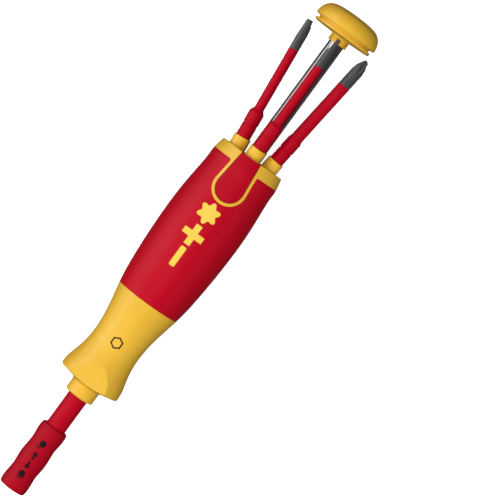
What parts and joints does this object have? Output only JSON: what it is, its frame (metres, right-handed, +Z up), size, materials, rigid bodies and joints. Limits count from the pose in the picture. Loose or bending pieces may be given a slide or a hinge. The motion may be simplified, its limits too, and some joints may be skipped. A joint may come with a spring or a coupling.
{
  "type": "insulated bit magazine screwdriver",
  "caption": "Insulated screwdriver with a spring-lifted magazine of fanned insulated bits under its cap, a rocking release button and a locking sleeve at the tip.",
  "frame": {"origin": "centre of the locking sleeve's mouth, on the tool's axis, where a bit enters", "axes": "+X along the tool from the sleeve's mouth to the cap, +Z up through the release button, with the tool lying on its side"},
  "size_m": [0.2814, 0.0402, 0.0422],
  "materials": {
    "yellow_plastic": "smooth moulded hard plastic",
    "yellow_cap": "smooth moulded hard plastic",
    "yellow_carrier": "smooth moulded hard plastic",
    "red_grip": "satin soft grip",
    "red_button": "satin moulded plastic",
    "red_insulation": "satin moulded insulation",
    "red_sleeve": "satin moulded plastic with dark printed signs",
    "black_plastic": "moulded",
    "polished_rod": "polished",
    "plain_steel": "turned",
    "spring_steel": "drawn wire",
    "dark_steel": "blackened",
    "bit_steel": "dark phosphated tool steel",
    "rubber_ring": "moulded"
  },
  "bodies": {
    "handle": {"handle_core": "yellow_plastic", "grip_sleeve": "red_grip", "stop_pins": "plain_steel", "button_pin": "plain_steel", "button_spring": "spring_steel", "bit_socket": "dark_steel", "drive_shaft": "plain_steel", "shaft_insulation": "red_insulation", "detent_ring": "rubber_ring", "spring_seat": "plain_steel", "lift_spring": "spring_steel"},
    "magazine": {"carrier_hub": "black_plastic", "carrier_pins": "plain_steel", "centre_rod": "polished_rod", "hub_screw": "plain_steel", "hub_washer": "plain_steel", "cap_dome": "yellow_cap", "cap_insert": "yellow_cap", "cap_screw": "plain_steel"},
    "button": {"release_button": "red_button"},
    "sleeve": {"lock_sleeve": "red_sleeve", "cam_ring": "plain_steel"},
    "ball_right": {"lock_ball_right": "plain_steel"},
    "ball_left": {"lock_ball_left": "plain_steel"},
    "carrier_1": {"carrier_1": "yellow_carrier"},
    "bit_1": {"bit_1_steel": "bit_steel", "bit_1_insulation": "red_insulation"},
    "carrier_2": {"carrier_2": "yellow_carrier"},
    "bit_2": {"bit_2_steel": "bit_steel", "bit_2_insulation": "red_insulation"},
    "carrier_3": {"carrier_3": "yellow_carrier"},
    "bit_3": {"bit_3_steel": "bit_steel", "bit_3_insulation": "red_insulation"},
    "carrier_4": {"carrier_4": "yellow_carrier"},
    "bit_4": {"bit_4_steel": "bit_steel", "bit_4_insulation": "red_insulation"},
    "carrier_5": {"carrier_5": "yellow_carrier"},
    "bit_5": {"bit_5_steel": "bit_steel", "bit_5_insulation": "red_insulation"},
    "carrier_6": {"carrier_6": "yellow_carrier"},
    "bit_6": {"bit_6_steel": "bit_steel", "bit_6_insulation": "red_insulation"}
  },
  "joints": [
    {"name": "magazine_slide", "type": "slide", "parent": "handle", "child": "magazine", "axis": [1, 0, 0], "range_m": [-0.075, 0], "stiffness_N_per_m": 40, "springref_m": 0.02, "deforming": ["lift_spring"]},
    {"name": "carrier_tilt_1", "type": "hinge", "parent": "magazine", "child": "carrier_1", "pos_m": [0.183, 0, 0.00907], "axis": [0, -1, 0], "range_deg": [-6.9, 0]},
    {"name": "bit_pull_1", "type": "slide", "parent": "carrier_1", "child": "bit_1", "axis": [0.9928, 0, 0.1201], "range_m": [0, 0.011]},
    {"name": "carrier_tilt_2", "type": "hinge", "parent": "magazine", "child": "carrier_2", "pos_m": [0.183, -0.00786, 0.00454], "axis": [0, -0.5, -0.866], "range_deg": [-6.9, 0]},
    {"name": "bit_pull_2", "type": "slide", "parent": "carrier_2", "child": "bit_2", "axis": [0.9928, -0.104, 0.0601], "range_m": [0, 0.011]},
    {"name": "carrier_tilt_3", "type": "hinge", "parent": "magazine", "child": "carrier_3", "pos_m": [0.183, -0.00786, -0.00454], "axis": [0, 0.5, -0.866], "range_deg": [-6.9, 0]},
    {"name": "bit_pull_3", "type": "slide", "parent": "carrier_3", "child": "bit_3", "axis": [0.9928, -0.104, -0.0601], "range_m": [0, 0.011]},
    {"name": "carrier_tilt_4", "type": "hinge", "parent": "magazine", "child": "carrier_4", "pos_m": [0.183, 0, -0.00907], "axis": [0, 1, 0], "range_deg": [-6.9, 0]},
    {"name": "bit_pull_4", "type": "slide", "parent": "carrier_4", "child": "bit_4", "axis": [0.9928, 0, -0.1201], "range_m": [0, 0.011]},
    {"name": "carrier_tilt_5", "type": "hinge", "parent": "magazine", "child": "carrier_5", "pos_m": [0.183, 0.00786, -0.00454], "axis": [0, 0.5, 0.866], "range_deg": [-6.9, 0]},
    {"name": "bit_pull_5", "type": "slide", "parent": "carrier_5", "child": "bit_5", "axis": [0.9928, 0.104, -0.0601], "range_m": [0, 0.011]},
    {"name": "carrier_tilt_6", "type": "hinge", "parent": "magazine", "child": "carrier_6", "pos_m": [0.183, 0.00786, 0.00454], "axis": [0, -0.5, 0.866], "range_deg": [-6.9, 0]},
    {"name": "bit_pull_6", "type": "slide", "parent": "carrier_6", "child": "bit_6", "axis": [0.9928, 0.104, 0.0601], "range_m": [0, 0.011]},
    {"name": "button_rock", "type": "hinge", "parent": "handle", "child": "button", "pos_m": [0.18435, 0, 0.0159], "axis": [0, -1, 0], "range_deg": [0, 3], "stiffness_Nm_per_rad": 0.4, "springref_deg": -2.86, "deforming": ["button_spring"]},
    {"name": "sleeve_slide", "type": "slide", "parent": "handle", "child": "sleeve", "axis": [1, 0, 0], "range_m": [0, 0.0035]},
    {"name": "ball_lift_right", "type": "slide", "parent": "handle", "child": "ball_right", "axis": [0, -1, 0], "range_m": [0, 0.0005]},
    {"name": "ball_lift_left", "type": "slide", "parent": "handle", "child": "ball_left", "axis": [0, 1, 0], "range_m": [0, 0.0005]}
  ],
  "couplings": [
    {"joint": "carrier_tilt_1", "follows": "magazine_slide", "rad_per_m": 1.6057},
    {"joint": "carrier_tilt_2", "follows": "magazine_slide", "rad_per_m": 1.6057},
    {"joint": "carrier_tilt_3", "follows": "magazine_slide", "rad_per_m": 1.6057},
    {"joint": "carrier_tilt_4", "follows": "magazine_slide", "rad_per_m": 1.6057},
    {"joint": "carrier_tilt_5", "follows": "magazine_slide", "rad_per_m": 1.6057},
    {"joint": "carrier_tilt_6", "follows": "magazine_slide", "rad_per_m": 1.6057},
    {"joint": "ball_lift_right", "follows": "sleeve_slide", "ratio": 0.1428},
    {"joint": "ball_lift_left", "follows": "sleeve_slide", "ratio": 0.1428}
  ]
}
